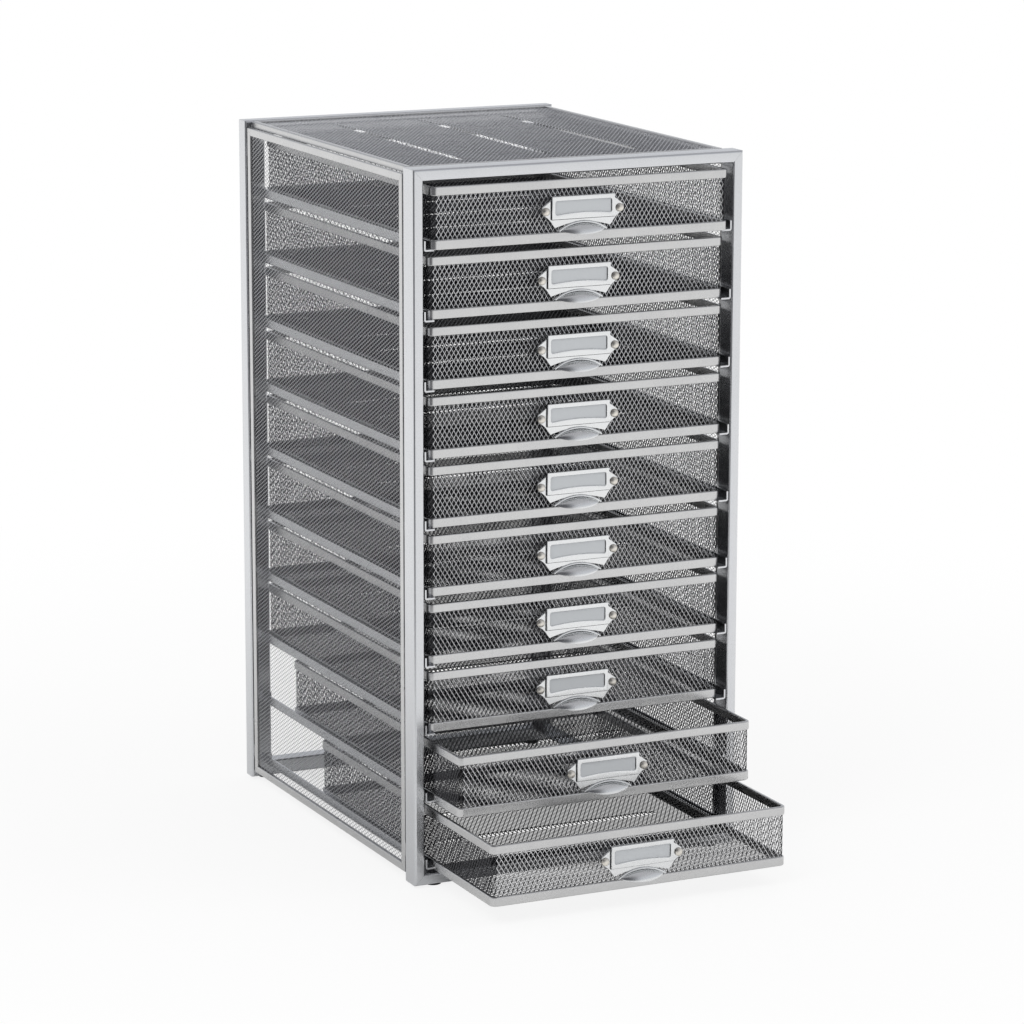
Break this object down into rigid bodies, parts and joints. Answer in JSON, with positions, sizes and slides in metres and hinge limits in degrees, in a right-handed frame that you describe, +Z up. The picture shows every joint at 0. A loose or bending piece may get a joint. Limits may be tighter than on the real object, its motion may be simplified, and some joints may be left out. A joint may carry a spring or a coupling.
{
  "type": "mesh drawer cabinet",
  "caption": "Tall free-standing desk cabinet of shallow metal-mesh drawers with label pulls, in a tube frame with mesh side and top panels and an open back.",
  "frame": {"origin": "on the floor, under the middle of the cabinet's footprint", "axes": "+X to the cabinet's right as seen from the front, +Y from the drawer fronts to the back, +Z up"},
  "size_m": [0.2606, 0.4394, 0.5213],
  "materials": {
    "frame_silver": "glossy silver lacquer",
    "rim_silver": "glossy silver lacquer",
    "mesh_silver": "silver lacquer on expanded sheet",
    "pull_steel": "satin nickel",
    "rivet_steel": "warm satin nickel",
    "card_paper": "blank pale grey card",
    "foot_rubber": "matt black"
  },
  "bodies": {
    "cabinet": {"front_frame": "frame_silver", "rear_frame": "frame_silver", "left_side_mesh": "mesh_silver", "left_side_edging": "rim_silver", "right_side_mesh": "mesh_silver", "right_side_edging": "rim_silver", "top_mesh": "mesh_silver", "top_edging": "rim_silver", "runners": "frame_silver", "rubber_feet": "foot_rubber"},
    "drawer_01": {"drawer_01_basket": "mesh_silver", "drawer_01_rims": "rim_silver", "drawer_01_pull": "pull_steel", "drawer_01_rivets": "rivet_steel", "drawer_01_card": "card_paper"},
    "drawer_02": {"drawer_02_basket": "mesh_silver", "drawer_02_rims": "rim_silver", "drawer_02_pull": "pull_steel", "drawer_02_rivets": "rivet_steel", "drawer_02_card": "card_paper"},
    "drawer_03": {"drawer_03_basket": "mesh_silver", "drawer_03_rims": "rim_silver", "drawer_03_pull": "pull_steel", "drawer_03_rivets": "rivet_steel", "drawer_03_card": "card_paper"},
    "drawer_04": {"drawer_04_basket": "mesh_silver", "drawer_04_rims": "rim_silver", "drawer_04_pull": "pull_steel", "drawer_04_rivets": "rivet_steel", "drawer_04_card": "card_paper"},
    "drawer_05": {"drawer_05_basket": "mesh_silver", "drawer_05_rims": "rim_silver", "drawer_05_pull": "pull_steel", "drawer_05_rivets": "rivet_steel", "drawer_05_card": "card_paper"},
    "drawer_06": {"drawer_06_basket": "mesh_silver", "drawer_06_rims": "rim_silver", "drawer_06_pull": "pull_steel", "drawer_06_rivets": "rivet_steel", "drawer_06_card": "card_paper"},
    "drawer_07": {"drawer_07_basket": "mesh_silver", "drawer_07_rims": "rim_silver", "drawer_07_pull": "pull_steel", "drawer_07_rivets": "rivet_steel", "drawer_07_card": "card_paper"},
    "drawer_08": {"drawer_08_basket": "mesh_silver", "drawer_08_rims": "rim_silver", "drawer_08_pull": "pull_steel", "drawer_08_rivets": "rivet_steel", "drawer_08_card": "card_paper"},
    "drawer_09": {"drawer_09_basket": "mesh_silver", "drawer_09_rims": "rim_silver", "drawer_09_pull": "pull_steel", "drawer_09_rivets": "rivet_steel", "drawer_09_card": "card_paper"},
    "drawer_10": {"drawer_10_basket": "mesh_silver", "drawer_10_rims": "rim_silver", "drawer_10_pull": "pull_steel", "drawer_10_rivets": "rivet_steel", "drawer_10_card": "card_paper"}
  },
  "joints": [
    {"name": "drawer_01_slide", "type": "slide", "parent": "cabinet", "child": "drawer_01", "axis": [0, -1, 0], "range_m": [-0.006, 0.224]},
    {"name": "drawer_02_slide", "type": "slide", "parent": "cabinet", "child": "drawer_02", "axis": [0, -1, 0], "range_m": [0, 0.23]},
    {"name": "drawer_03_slide", "type": "slide", "parent": "cabinet", "child": "drawer_03", "axis": [0, -1, 0], "range_m": [0, 0.23]},
    {"name": "drawer_04_slide", "type": "slide", "parent": "cabinet", "child": "drawer_04", "axis": [0, -1, 0], "range_m": [0, 0.23]},
    {"name": "drawer_05_slide", "type": "slide", "parent": "cabinet", "child": "drawer_05", "axis": [0, -1, 0], "range_m": [0, 0.23]},
    {"name": "drawer_06_slide", "type": "slide", "parent": "cabinet", "child": "drawer_06", "axis": [0, -1, 0], "range_m": [0, 0.23]},
    {"name": "drawer_07_slide", "type": "slide", "parent": "cabinet", "child": "drawer_07", "axis": [0, -1, 0], "range_m": [0, 0.23]},
    {"name": "drawer_08_slide", "type": "slide", "parent": "cabinet", "child": "drawer_08", "axis": [0, -1, 0], "range_m": [0, 0.23]},
    {"name": "drawer_09_slide", "type": "slide", "parent": "cabinet", "child": "drawer_09", "axis": [0, -1, 0], "range_m": [-0.051, 0.179]},
    {"name": "drawer_10_slide", "type": "slide", "parent": "cabinet", "child": "drawer_10", "axis": [0, -1, 0], "range_m": [-0.106, 0.124]}
  ]
}
